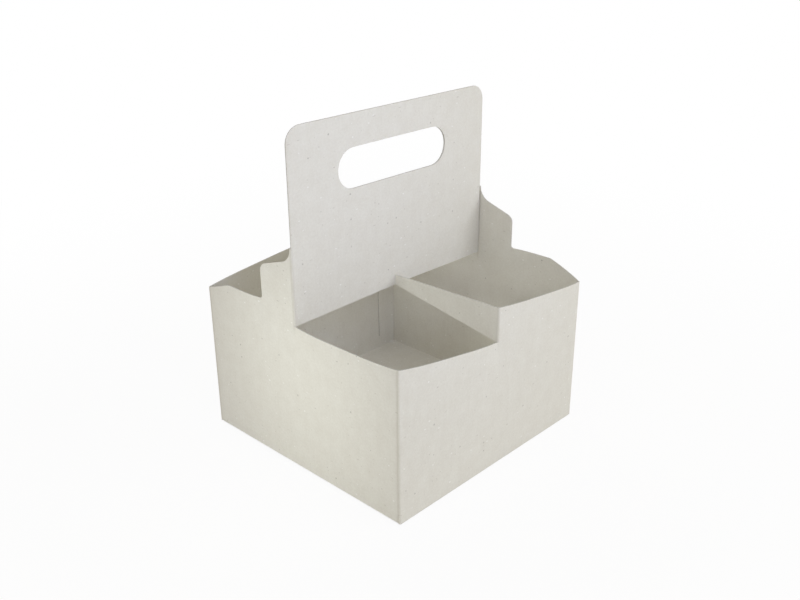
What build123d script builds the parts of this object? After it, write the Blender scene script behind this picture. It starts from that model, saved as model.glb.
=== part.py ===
from build123d import *
from math import cos, pi, radians, sin, sqrt, tan
import os

# Four-cup carrier, die-cut and folded from one sheet of recycled board.
# The two ends are alike: each half of the carrier is the other one turned half round.
# Four walls stand on a locking floor.  From each side wall's middle a handle leaf folds in
# over the width, and the two leaves are glued back to back.  From the front and the back
# wall a strap folds in and runs to the leaf it was cut from, which parts the cups.
# Origin: middle of the base.  X runs along the handle, Y to the back, Z up.  Millimetres.

# The sheet
board = 0.6            # thickness of the board
fold_inside = 0.6      # inside radius of a fold
fold_foot = 0.8        # height of the small notch that is open at the foot of an upright fold

# The walls
carrier_side = 175.0   # outside width and depth, which are the same
corner_height = 102.5  # height of the four corners
dip = 14.0             # fall of the front and back edge from a corner to the strap
rise = 9.0             # height of the raised wall halves above the corners
hinge_drop = 1.3       # fall of the side wall's edge from a corner to the leaf's fold
shoulder_run = 26.0    # length of the sloping end of a side wall's raised half
shoulder_round = 6.0   # rounding where that slope begins
strap_tip = 7.0        # height of a strap where it joins its leaf
glue_lap = 16.0        # width of the lap that closes the ring of walls
lap_taper = 10.0       # height that the lap loses at each end over its width
seam_gap = 0.4         # play between the back wall's cut end and the outside of the corner

# The tabs, which carry the folds of the leaves
tab_width = 28.5       # width of a tab from the leaf's fold
tab_rise = 41.0        # height of a tab's top edge above the corners, at the fold
tab_slope = 18.0       # degrees that this edge falls away from the fold
tab_round = 5.5        # rounding of the tab's outer corner
notch_round = 2.0      # rounding at the foot of the tab
tab_fillet = 10.5      # rounding between the tab and the leaf's free edge

# The handle
handle_rise = 120.0    # height of the handle's top edge above the corners
handle_round = 13.0    # rounding of its top corners
slot_length = 96.0     # hand slot, over its round ends
slot_width = 25.5      # hand slot, from edge to edge
slot_margin = 20.5     # board left above the slot
leaf_gap = 1.0         # play between a leaf's far end and the tab of the other leaf

# The floor
flap_relief = 1.5      # distance of a floor flap from the walls beside it
flap_gap = 0.5         # play between two floor flaps
lock_reach = 9.0       # distance that a main flap passes the middle
tongue_reach = 22.0    # depth of the tongue that rides up on the other main flap
tongue_width = 26.0    # width of the tongue at its end
tongue_inset = 4.5     # distance of that end from the middle
flap_round = 6.0       # rounding of the corners at a flap's free edge
flap_taper = 40.0      # length that a side flap loses at each end over its depth

# Worked out from these
half = carrier_side / 2
fold_outside = fold_inside + board
straight = half - fold_outside              # where a wall ends and its corner fold begins
dip_height = corner_height - dip
raised_height = corner_height + rise
hinge_height = corner_height - hinge_drop
strap_end_height = corner_height + strap_tip
handle_height = corner_height + handle_rise
leaf_fold = fold_outside - board            # where the side wall meets the leaf's fold
strap_fold = fold_outside - board / 2       # where the front wall meets the strap's fold
strap_root = -board / 2 - fold_inside       # where the leaf meets the strap's other fold
tab_height = corner_height + tab_rise
fillet_run = tab_fillet * tan(radians(90 - tab_slope) / 2)
fold_top = tab_height + fillet_run


def panel(plane, *corners):
    """A flat panel of the sheet.  Each corner is (across, up, rounding) on the plane."""
    points = [(across, up) for across, up, rounding in corners]
    roundings = [rounding for across, up, rounding in corners]
    outline = FilletPolyline(*points, radius=roundings, close=True)
    return extrude(plane * make_face(outline), board)


def fold(plane, turn, length):
    """A quarter-round fold about the plane's own Z axis, turned by so many degrees."""
    square = Rectangle(fold_outside, fold_outside, align=(Align.MIN, Align.MIN))
    section = (Circle(fold_outside) - Circle(fold_inside)) & square
    return extrude(plane * Rot(0, 0, turn) * section, length)


def upright_fold(x, y, turn, low, high):
    """An upright fold between two heights."""
    return fold(Plane((x, y, low)), turn, high - low)


def front_wall():
    """The wall whose edge dips towards the strap and steps up to the raised half."""
    return panel(
        Plane.XZ.offset(half - board),
        (-straight, fold_outside, 0),
        (-straight, corner_height, 0),
        (strap_fold, dip_height, 0),
        (strap_fold, raised_height, 0),
        (straight, corner_height, 0),
        (straight, fold_outside, 0),
    )


def side_wall():
    """The wall with a low front half, the tab beside the leaf's fold and a sloping shoulder."""
    plane = Plane.YZ.offset(-half)
    tab_end = leaf_fold + tab_width
    wall = panel(
        plane,
        (-straight, board + fold_outside, 0),
        (-straight, corner_height, 0),
        (leaf_fold, hinge_height, 0),
        (leaf_fold, tab_height, 0),
        (tab_end, tab_height - tab_width * tan(radians(tab_slope)), tab_round),
        (tab_end, raised_height, notch_round),
        (half - shoulder_run, raised_height, shoulder_round),
        (straight, corner_height, 0),
        (straight, board + fold_outside, 0),
    )
    along = (cos(radians(tab_slope)), -sin(radians(tab_slope)))
    centre = (leaf_fold + tab_fillet, fold_top)
    corner = Polyline(
        (leaf_fold, tab_height),
        (leaf_fold, fold_top),
        centre,
        (leaf_fold + fillet_run * along[0], tab_height + fillet_run * along[1]),
        close=True,
    )
    web = make_face(corner) - Pos(*centre) * Circle(tab_fillet)
    return wall + extrude(plane * web, board)


def leaf():
    """One ply of the handle, with the edge that it leaves on the walls along its bottom."""
    half_a_fold = (fold_inside + board / 2) * pi / 4
    free_edge = -straight - half_a_fold
    far_edge = half - board - leaf_gap
    ply = panel(
        Plane.XZ,
        (-straight, hinge_height, 0),
        (-straight, fold_top, 0),
        (free_edge, fold_top, 0),
        (free_edge, handle_height, handle_round),
        (far_edge, handle_height, handle_round),
        (far_edge, raised_height, 0),
        (strap_root, strap_end_height, 0),
        (strap_root, corner_height, 0),
    )
    slot = SlotOverall(slot_length, slot_width)
    slot_height = handle_height - slot_margin - slot_width / 2
    return ply - extrude(Plane.XZ * Pos(0, slot_height) * slot, board)


def strap():
    """The strap that runs in from the front wall's step, narrowing to its leaf."""
    band = panel(
        Plane.YZ.offset(-board / 2),
        (-straight, dip_height, 0),
        (-straight, raised_height, 0),
        (-board - fold_inside, strap_end_height, 0),
        (-board - fold_inside, corner_height, 0),
    )
    wall_end = upright_fold(strap_fold, -straight, 180, dip_height, raised_height)
    leaf_end = upright_fold(
        strap_root, -board - fold_inside, 0, corner_height, strap_end_height
    )
    return band + wall_end + leaf_end


def main_flap():
    """The lower floor flap: it ends on the diagonal, and its tongue locks on the other one."""
    diagonal = flap_gap / sqrt(2)
    side = half - flap_relief
    flap = panel(
        Plane.XY,
        (-side, -straight, 0),
        (-side, lock_reach, 0),
        (-lock_reach - diagonal, lock_reach, 0),
        (side - diagonal, -side, 0),
        (side - diagonal, -straight, 0),
    )
    crease = Plane((-side, -straight, fold_outside), x_dir=(0, 1, 0), z_dir=(1, 0, 0))
    tongue_start = -tongue_inset - tongue_width
    tongue = panel(
        Plane.XY.offset(board),
        (tongue_start, lock_reach - board, 0),
        (tongue_start, lock_reach + tongue_reach, flap_round),
        (-tongue_inset, lock_reach + tongue_reach, flap_round),
        (-lock_reach - diagonal, lock_reach, 0),
        (-lock_reach - diagonal, lock_reach - board, 0),
    )
    return flap + fold(crease, 180, 2 * side - diagonal) + tongue


def side_flap():
    """The upper floor flap on a side wall: it tapers, and its free edge meets the tongue."""
    side = half - flap_relief
    edge = -tongue_inset - tongue_width - flap_gap
    flap = panel(
        Plane.XY.offset(board),
        (-straight, -side, 0),
        (-straight, side, 0),
        (edge, side - flap_taper, flap_round),
        (edge, flap_taper - side, flap_round),
    )
    crease = Plane((-straight, -side, board + fold_outside), x_dir=(0, 0, 1), z_dir=(0, 1, 0))
    return flap + fold(crease, 180, 2 * side)


def seam():
    """The back right corner: the right wall folds in to a lap glued inside the back wall."""
    bend = upright_fold(straight, straight - board, 0, fold_foot, corner_height)
    lap = panel(
        Plane.XZ.offset(board - half),
        (straight, fold_foot, 0),
        (straight - glue_lap, fold_foot + lap_taper, 0),
        (straight - glue_lap, corner_height - lap_taper, 0),
        (straight, corner_height, 0),
    )
    end = panel(
        Plane.XZ.offset(-half),
        (straight, fold_outside, 0),
        (half - seam_gap, fold_outside, 0),
        (half - seam_gap, corner_height, 0),
        (straight, corner_height, 0),
    )
    return bend + lap + end


def seam_room():
    """What the right wall gives up at the seam, where its fold lies one board further in."""
    room = Box(board, board, corner_height, align=(Align.MAX, Align.MAX, Align.MIN))
    return Pos(half, straight, board + fold_outside) * room


def carrier():
    """The whole folded sheet.  Only the corner with the seam differs from the one opposite."""
    leaf_bend = upright_fold(-straight, leaf_fold, 180, hinge_height, fold_top)
    one_half = front_wall() + side_wall() + leaf() + leaf_bend + strap()
    one_half += main_flap() + side_flap()
    one_half += upright_fold(-straight, straight, 90, fold_foot, corner_height)
    other_half = Rot(0, 0, 180) * one_half
    other_half -= seam_room()
    front_left = upright_fold(-straight, -straight, 180, fold_foot, corner_height)
    return one_half + other_half + front_left + seam()


os.makedirs("parts", exist_ok=True)
export_step(carrier(), "parts/carrier.step")
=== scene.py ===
from math import pi, radians, sin, sqrt
import bmesh
import bpy
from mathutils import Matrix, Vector, noise
from mathutils.bvhtree import BVHTree


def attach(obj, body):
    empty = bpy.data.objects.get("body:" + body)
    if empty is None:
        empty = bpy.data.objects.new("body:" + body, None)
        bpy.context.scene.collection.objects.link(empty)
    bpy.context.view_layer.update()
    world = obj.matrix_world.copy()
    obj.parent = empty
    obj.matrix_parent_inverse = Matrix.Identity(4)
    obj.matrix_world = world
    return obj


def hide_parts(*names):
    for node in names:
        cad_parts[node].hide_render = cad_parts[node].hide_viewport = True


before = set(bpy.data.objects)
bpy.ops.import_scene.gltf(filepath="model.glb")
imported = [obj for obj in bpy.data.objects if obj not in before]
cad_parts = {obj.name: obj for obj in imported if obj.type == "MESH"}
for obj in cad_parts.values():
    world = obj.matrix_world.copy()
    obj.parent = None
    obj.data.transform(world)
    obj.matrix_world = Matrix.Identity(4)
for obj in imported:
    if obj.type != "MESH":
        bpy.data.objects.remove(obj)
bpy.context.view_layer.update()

# The sheet.  One die-cut blank of recycled board, folded up and glued at one corner.
# It starts from the exact shape, and gets what folding and use do to board: pressed
# creases beside each fold, walls that belly out, and a handle that isn't dead flat.
MM = 0.001
half = 87.5 * MM            # from the middle to the outside of a wall
fold_start = 86.3 * MM      # where a wall ends and its corner fold begins
hinge = 0.6 * MM            # where the leaves and the straps leave the walls
tab_end = 27.0 * MM         # the tab holds a side wall's raised half flat up to here
corner_height = 102.5 * MM
leaf_start = 101.2 * MM     # height above which the leaves hold the middle of the side walls
strap_start = 88.5 * MM     # height above which the straps hold the front and back wall
one_point = 0.001 * MM      # points nearer than this are the same one
one_facet = radians(0.03)   # facets that turn less than this are the same one

sheet = bmesh.new()
sheet.from_mesh(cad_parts["carrier"].data)
bmesh.ops.remove_doubles(sheet, verts=sheet.verts, dist=one_point)
bmesh.ops.dissolve_limit(sheet, angle_limit=one_facet, verts=sheet.verts, edges=sheet.edges)

# The pattern of the board follows each flat side, so fibres lie in the sheet, and each side
# of each panel shows another stretch of it.
grain = sheet.loops.layers.uv.new("grain")
for face in sheet.faces:
    n = face.normal
    axis = max(range(3), key=lambda k: abs(n[k]))
    along, up = {0: (1, 2), 1: (0, 2), 2: (0, 1)}[axis]
    side = round(face.calc_center_median()[axis] / MM) + (7 if n[axis] > 0 else 0)
    stretch = Vector((0.53 * side, 0.31 * side))
    for loop in face.loops:
        co = loop.vert.co
        loop[grain].uv = Vector((co[along], co[up])) + stretch

# New edges are cut into the whole sheet, so that it can bend: close together beside the
# folds, and in columns and rows over the panels.
crease_reach = 1.6 * MM     # width of the pressed line beside a fold
crease_cuts = 5
columns = 14                # in half the width of a wall
rows = 24
row_height = 9.3 * MM
on_cut = 0.0005 * MM        # points nearer to a cut than this lie on it
sliver = 0.002 * MM         # edges shorter than this close up again


def slice_sheet(axis, places):
    """Cuts the sheet across an axis, on both sides of the middle unless the axis is upright."""
    direction = Vector((0, 0, 0))
    direction[axis] = 1
    signs = (1,) if axis == 2 else (-1, 1)
    for place in places:
        for sign in signs:
            bmesh.ops.bisect_plane(
                sheet, geom=sheet.verts[:] + sheet.edges[:] + sheet.faces[:],
                dist=on_cut, plane_co=direction * place * sign, plane_no=direction,
            )


crease_steps = [crease_reach * k / crease_cuts for k in range(1, crease_cuts + 1)]
beside_corner = [fold_start - step for step in crease_steps]
beside_hinge = [hinge + step for step in crease_steps]
over_panel = [half * k / columns for k in range(1, columns)]
slice_sheet(0, beside_corner + beside_hinge + over_panel)
slice_sheet(1, beside_corner + beside_hinge + over_panel)
slice_sheet(2, [k * row_height for k in range(1, rows)])
bmesh.ops.dissolve_degenerate(sheet, dist=sliver, edges=sheet.edges)

# The handle's top corners are cut a little tighter than the part draws them.
handle_top = 222.5 * MM
leaf_ends = (87.0 * MM, 85.9 * MM)   # a leaf's end at its own fold, and its far end
drawn_round = 13.0 * MM
cut_round = 10.4 * MM
saved = drawn_round - cut_round
rim = 0.15 * MM             # points this near to a drawn rounding lie on it


def recut(spoke):
    """Moves a point outwards, measured from the centre of the corner's drawn rounding."""
    run, rise = spoke.normalized()
    if min(run, rise) * drawn_round < saved * max(run, rise):
        reach = drawn_round / max(run, rise)
    else:
        middle = saved * (run + rise)
        reach = middle + sqrt(middle ** 2 + cut_round ** 2 - 2 * saved ** 2)
    return spoke * (1 + (reach / drawn_round - 1) * (spoke.length / drawn_round) ** 2)


# A point is measured from the end whose rim it lies on, and any other from the far end.
for vert in sheet.verts:
    for leaf_end in leaf_ends:
        centre = Vector((leaf_end - drawn_round, handle_top - drawn_round))
        spoke = Vector((abs(vert.co.x), vert.co.z)) - centre
        on_rim = spoke.length > drawn_round - rim
        if min(spoke) > 0 and (on_rim or leaf_end == leaf_ends[1]):
            outwards, upwards = centre + recut(spoke)
            vert.co.x = outwards if vert.co.x > 0 else -outwards
            vert.co.z = upwards
            break

# How the board gives way, and how far.
belly = 2.35 * MM           # how far a wall half stands out at its top edge
raised_belly = 1.8 * MM     # the same for the raised halves of the front and back wall
fullness = 3.4              # shape of a belly between its ends: 2 is a plain arc
late_rise = 1.4             # shape of a belly up a wall: 1 is straight, more grows later
crease_depth = 0.12 * MM
wall_band = 1.3 * MM        # points this near a wall's face or the handle's middle are its own
handle_start = 115.0 * MM   # height above which the handle stands free
held_side = 25.0 * MM       # its ends are held flat over this width
held_foot = 30.0 * MM       # its foot is held flat over this height
warp = 0.35 * MM
warp_length = 48.0 * MM     # about the width of one wave of the warp


def pressed(distance):
    """How much of the crease's depth there is at a distance from the edge of a fold."""
    return sin(pi * distance / crease_reach) ** 2 if 0 < distance < crease_reach else 0.0


def stand_out(along, height, start, held_above, most):
    """How far a wall stands out, held at its corners and, from some height up, its middle."""
    share = min(max((along - start) / (fold_start - start), 0), 1)
    held = min(max(2 * height / held_above - 1, 0), 1) ** 2
    halves = 1 - abs(2 * share - 1) ** fullness
    whole = 1 - (along / fold_start) ** fullness
    upright = min(height / corner_height, 1) ** late_rise
    return most * (held * halves + (1 - held) * whole) * upright


# Painted shade: a dark line is painted along each upright fold, where the crease lies in shade.
line_reach = 1.5 * MM
before_corner = 0.3 * MM    # the line lies this far before the corner's fold
behind_face = 0.35 * MM     # and at a leaf or a strap this far behind the wall's face
spared = 0.1 * MM           # it starts this far below the leaf or the strap


def painted_shade_at(distance):
    """How much painted shade the board gets at a distance from the line of a fold."""
    return max(0.0, 1 - distance / line_reach)


corner_line = Vector((half, fold_start - before_corner))
leaf_line = Vector((half - behind_face, 0))
strap_line = Vector((0, half - behind_face))
painted_shade_line = sheet.verts.layers.float.new("painted_shade_line")
for vert in sheet.verts:
    x, y, z = vert.co
    plan = Vector((abs(x), abs(y)))
    vert[painted_shade_line] = painted_shade_at((plan - corner_line).length)
    if z > leaf_start - spared:
        vert[painted_shade_line] = max(vert[painted_shade_line], painted_shade_at((plan - leaf_line).length))
    if z > strap_start - spared:
        vert[painted_shade_line] = max(vert[painted_shade_line], painted_shade_at((plan - strap_line).length))
    raised = x * y < 0
    if plan.x > half - wall_band and plan.y < fold_start:
        out = stand_out(plan.y, z, tab_end if raised else hinge, leaf_start, belly)
        out -= crease_depth * pressed(fold_start - plan.y)
        if z > leaf_start:
            out -= crease_depth * pressed(plan.y - hinge)
        vert.co.x += out if x > 0 else -out
    if plan.y > half - wall_band and plan.x < fold_start:
        out = stand_out(plan.x, z, hinge, strap_start, raised_belly if raised else belly)
        vert.co.y += out if y > 0 else -out
    if plan.y < wall_band and z > handle_start:
        slack = min(max((fold_start - plan.x) / held_side, 0), 1)
        slack = slack * min((z - handle_start) / held_foot, 1)
        vert.co.y += warp * slack * noise.noise(Vector((x, 0, z)) / warp_length)

# Board is cut where the sheet runs on deeper than two plies under a face.
two_plies = 1.7 * MM
under_face = 0.02 * MM      # the look inwards starts here, so that it misses the face itself
sharp = radians(35)
depth_below = BVHTree.FromBMesh(sheet)
for face in sheet.faces:
    face.smooth = True
    inside = face.calc_center_median() - face.normal * under_face
    hit = depth_below.ray_cast(inside, -face.normal)
    face.material_index = 0 if hit[3] is not None and hit[3] < two_plies else 1
for edge in sheet.edges:
    edge.smooth = edge.calc_face_angle(0) < sharp

mesh = bpy.data.meshes.new("carrier_sheet")
sheet.to_mesh(mesh)
sheet.free()
carrier = bpy.data.objects.new("carrier_sheet", mesh)
bpy.context.scene.collection.objects.link(carrier)
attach(carrier, "root")
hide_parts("carrier")


class Wire:
    """A socket of a material, on which sums can be written as on a number."""

    def __init__(self, tree, socket=None):
        self.tree, self.socket = tree, socket

    def node(self, kind, inputs=(), output=0, **settings):
        """Any node: its settings are set first, then the values or wires of its sockets."""
        made = self.tree.nodes.new(kind)
        for name, value in settings.items():
            setattr(made, name, value)
        for name, value in dict(inputs).items():
            if isinstance(value, Wire):
                value.into(made, name)
            else:
                made.inputs[name].default_value = value
        return Wire(self.tree, made.outputs[output])

    def into(self, node, name):
        """Feeds a socket of a node."""
        self.tree.links.new(self.socket, node.inputs[name])

    def math(self, operation, *values):
        return self.node("ShaderNodeMath", dict(enumerate(values)), operation=operation)

    def __add__(self, other): return self.math("ADD", self, other)
    def __radd__(self, other): return self.math("ADD", other, self)
    def __sub__(self, other): return self.math("SUBTRACT", self, other)
    def __rsub__(self, other): return self.math("SUBTRACT", other, self)
    def __mul__(self, other): return self.math("MULTIPLY", self, other)
    def __rmul__(self, other): return self.math("MULTIPLY", other, self)

    def vector_math(self, operation, other):
        return self.node("ShaderNodeVectorMath", {0: self, 1: other}, operation=operation)

    def ramp(self, low, high, start=0.0, end=1.0):
        """Goes smoothly from start to end as this goes from low to high."""
        return self.node(
            "ShaderNodeMapRange",
            {"Value": self, "From Min": low, "From Max": high, "To Min": start, "To Max": end},
            interpolation_type="SMOOTHSTEP",
        )

    def between(self, first, second):
        """Goes from one colour to another as this goes from 0 to 1."""
        return self.node(
            "ShaderNodeMix", {0: self, 6: first, 7: second}, output=2, data_type="RGBA",
        )

    def scale(self, x, y, turn=0.0):
        """This vector with its axes scaled and turned in the plane of the sheet."""
        return self.node(
            "ShaderNodeMapping", {"Vector": self, "Rotation": (0, 0, turn), "Scale": (x, y, 1)},
        )

    def noise(self, scale, detail, rough, output="Fac"):
        """Soft random patches in the plane of the sheet."""
        return self.node(
            "ShaderNodeTexNoise",
            {"Vector": self, "Scale": scale, "Detail": detail, "Roughness": rough},
            output=output, noise_dimensions="2D",
        )

    def cells(self, scale, output):
        """One random spot per cell: its distance or its random colour."""
        return self.node(
            "ShaderNodeTexVoronoi", {"Vector": self, "Scale": scale},
            output=output, voronoi_dimensions="2D", feature="F1",
        )

    def channel(self, name):
        """One channel of a colour."""
        return self.node("ShaderNodeSeparateColor", {"Color": self}, output=name)


def start_material(name):
    """A new material with its shader, and a wire to write its sums from."""
    material = bpy.data.materials.new(name)
    material.use_nodes = True
    tree = material.node_tree
    return material, tree.nodes["Principled BSDF"], Wire(tree)


def srgb(red, green, blue):
    """A colour as a screen shows it, from 0 to 255, made linear."""
    def linear(value):
        value /= 255
        return value / 12.92 if value <= 0.04045 else ((value + 0.055) / 1.055) ** 2.4
    return (linear(red), linear(green), linear(blue), 1.0)


# The skin of the board: matt pulp from old paper, with clouds, fibres and flecks in it.
# The pattern is laid out in millimetres, along the sheet.
board, shader, wire = start_material("recycled_board")
place = wire.node("ShaderNodeUVMap", uv_map="grain").vector_math("MULTIPLY", (1 / MM,) * 3)

clouds = place.noise(0.11, 3, 0.55)
formation = place.noise(0.62, 3, 0.6)
tooth = place.noise(3.1, 2, 0.6)
wander = place.noise(1.1, 1, 0.5, output="Color").vector_math("MULTIPLY", (0.9, 0.9, 0.9))
bent = place.vector_math("ADD", wander)

fibre_turns = (5.73, 54.435, -45.84)   # degrees
fibre_width = 0.018
fibres = 0.0
for turn in fibre_turns:
    strand = bent.scale(0.32, 2.6, radians(turn)).noise(1.0, 1, 0.4)
    hair = wire.math("ABSOLUTE", strand - 0.5).ramp(0.0, fibre_width, 1.0, 0.0)
    fibres = wire.math("MAXIMUM", fibres, hair)

streaks = place.scale(0.22, 0.03).noise(1.0, 1, 0.5)
tone = (clouds - 0.5) * 0.11 + (formation - 0.5) * 0.13 + (tooth - 0.5) * 0.08
tone = tone + (streaks - 0.5) * 0.04
pulp = (tone + 0.5).ramp(0.36, 0.64).between(srgb(216, 212, 201), srgb(230, 228, 219))
fibre_share = fibres * 0.18 * formation.ramp(0.45, 0.62)
pulp = fibre_share.between(pulp, srgb(242, 240, 233))

# Flecks: dark specks of ink, paler ones, white shreds, two sorts of short hair, and fine
# pepper.  A row gives their spacing in millimetres, their length for their width, their
# turn in radians, the share of places that have one, their least and most radius as a
# share of the spacing, their colour and their strength.
for spacing, length, turn, share, least, most, colour, strength in (
    (8.0, 1.0, 0.0, 0.09, 0.05, 0.085, srgb(156, 150, 140), 0.55),
    (3.4, 1.0, 0.0, 0.08, 0.05, 0.13, srgb(176, 169, 156), 0.40),
    (4.5, 1.6, 0.5, 0.12, 0.06, 0.12, srgb(250, 249, 245), 0.58),
    (6.0, 4.5, 0.25, 0.10, 0.03, 0.055, srgb(168, 160, 148), 0.45),
    (6.5, 4.0, 1.30, 0.10, 0.03, 0.055, srgb(176, 169, 156), 0.45),
    (1.0, 1.0, 0.0, 0.12, 0.05, 0.17, srgb(178, 171, 158), 0.30),
):
    spread = bent.scale(1 / length, 1.0, turn)
    spot = spread.cells(1 / spacing, "Distance")
    chance = spread.cells(1 / spacing, "Color")
    chosen = chance.channel("Red").ramp(1 - share, 1.02 - share)
    radius = chance.channel("Green").ramp(0.0, 1.0, least, most)
    fleck = (radius - spot).ramp(-0.005, 0.035) * chosen
    pulp = (fleck * strength).between(pulp, colour)

# The painted shade along the folds comes last, over all of it.
painted_shade_mask = wire.node("ShaderNodeAttribute", output="Fac", attribute_name="painted_shade_line")
pulp = (painted_shade_mask * 0.27).between(pulp, srgb(150, 139, 120))
pulp.into(shader, "Base Color")
formation.ramp(0.3, 0.7, 0.78, 0.92).into(shader, "Roughness")
relief = tooth * 0.6 + formation * 0.8 + fibres * 0.25
bump = wire.node("ShaderNodeBump", {"Height": relief, "Strength": 0.55, "Distance": 0.06 * MM})
bump.into(shader, "Normal")
shader.inputs["Specular IOR Level"].default_value = 0.3
mesh.materials.append(board)

# The cut edges of the board, where the die went through its grey middle.  They are bare,
# torn pulp: a shade darker than the skin, with fuzz that is finer than the board is thick.
cut_edge, shader, wire = start_material("cut_edge")
point = wire.node("ShaderNodeTexCoord", output="Object")
fuzz = wire.node("ShaderNodeTexNoise", {"Vector": point, "Scale": 2600.0, "Detail": 2.0})
core = fuzz.ramp(0.35, 0.7).between(srgb(184, 181, 174), srgb(218, 215, 208))
core.into(shader, "Base Color")
shader.inputs["Roughness"].default_value = 0.95
shader.inputs["Specular IOR Level"].default_value = 0.2
mesh.materials.append(cut_edge)

# The floor that the carrier stands on: a pale sheet that shows as white and keeps a soft
# shadow.  Under the carrier it stays dark, so no light shows through the gaps of the flaps.
floor_reach = 3.0
floor_drop = 0.2 * MM       # keeps it clear of the carrier's underside
foot = (0.084, 0.0872)      # its white starts between these distances from the middle
around = (0.10, 0.70)       # and is a little greyer near the carrier, up to these
near_white = 0.92
floor_mesh = bpy.data.meshes.new("floor")
ground = bmesh.new()
bmesh.ops.create_grid(ground, x_segments=1, y_segments=1, size=floor_reach)
bmesh.ops.translate(ground, verts=ground.verts, vec=(0, 0, -floor_drop))
ground.to_mesh(floor_mesh)
ground.free()
floor = bpy.data.objects.new("floor", floor_mesh)
bpy.context.scene.collection.objects.link(floor)

paint, shader, wire = start_material("floor_paint")
shader.inputs["Base Color"].default_value = srgb(246, 246, 245)
shader.inputs["Roughness"].default_value = 0.9
point = wire.node("ShaderNodeTexCoord", output="Object")
axes = [wire.node("ShaderNodeSeparateXYZ", {"Vector": point}, output=name) for name in "XY"]
off_middle = wire.math("MAXIMUM", *[wire.math("ABSOLUTE", axis) for axis in axes])
seen = wire.node("ShaderNodeLightPath", output="Is Camera Ray")
shows_white = seen * off_middle.ramp(*foot) * off_middle.ramp(*around, start=near_white)
glow = wire.node("ShaderNodeEmission", {"Color": (1, 1, 1, 1), "Strength": 1.0})
painted = Wire(wire.tree, shader.outputs["BSDF"])
shown = wire.node("ShaderNodeMixShader", {0: shows_white, 1: painted, 2: glow})
shown.into(wire.tree.nodes["Material Output"], "Surface")
floor_mesh.materials.append(paint)

# The light: a bright room, a small soft lamp at the left, wide ones in front and behind, and
# a cool one for the handle.
world = bpy.data.worlds.new("room")
bpy.context.scene.world = world
world.use_nodes = True
wire = Wire(world.node_tree)
seen = wire.node("ShaderNodeLightPath", output="Is Camera Ray")
for ray in ("Is Glossy Ray", "Is Transmission Ray"):
    seen = wire.math("MAXIMUM", seen, wire.node("ShaderNodeLightPath", output=ray))
lit = wire.node("ShaderNodeBackground", {"Color": (1.0, 0.98, 0.95, 1), "Strength": 0.65})
white = wire.node("ShaderNodeBackground", {"Color": (1, 1, 1, 1), "Strength": 1.0})
room = wire.node("ShaderNodeMixShader", {0: seen, 1: lit, 2: white})
room.into(world.node_tree.nodes["World Output"], "Surface")


def softbox(name, at, towards, size, power, colour, spread):
    """A square lamp that looks at a point."""
    light = bpy.data.lights.new(name, "AREA")
    light.size = size
    light.energy = power
    light.color = colour
    light.spread = radians(spread)
    lamp = bpy.data.objects.new(name, light)
    lamp.location = at
    lamp.rotation_euler = (Vector(towards) - Vector(at)).to_track_quat("-Z", "Y").to_euler()
    lamp.visible_camera = False
    bpy.context.scene.collection.objects.link(lamp)


softbox(
    "left_lamp", at=(-0.46, -0.006, 0.25), towards=(-0.0875, -0.007, 0.072),
    size=0.12, power=0.0245, colour=(0.95, 1.0, 0.96), spread=31,
)
softbox(
    "front_lamp", at=(0.6, -1.1, 0.6), towards=(0.0, 0.0, 0.1),
    size=0.8, power=2.14, colour=(0.89, 0.915, 0.97), spread=120,
)
softbox(
    "handle_lamp", at=(-0.16, -0.45, 0.42), towards=(-0.03, 0.0, 0.168),
    size=0.2, power=0.052, colour=(0.58, 0.66, 1.0), spread=42,
)
softbox(
    "back_lamp", at=(0.30, 1.1, 0.55), towards=(0.0, 0.0, 0.1),
    size=0.8, power=0.9, colour=(0.95, 0.96, 1.0), spread=120,
)

# The camera stands where the photograph was taken from: half a metre from the carrier's
# front left corner, and looking down on it.
lens = bpy.data.cameras.new("camera")
lens.sensor_width = 36
lens.lens = 41.741
lens.clip_start = 0.01
camera = bpy.data.objects.new("camera", lens)
camera.location = (-0.40857, -0.39716, 0.33985)
camera.rotation_euler = (radians(66.392), radians(0.349), radians(-46.297))
bpy.context.scene.collection.objects.link(camera)
bpy.context.scene.camera = camera
bpy.context.scene.view_settings.view_transform = "Standard"
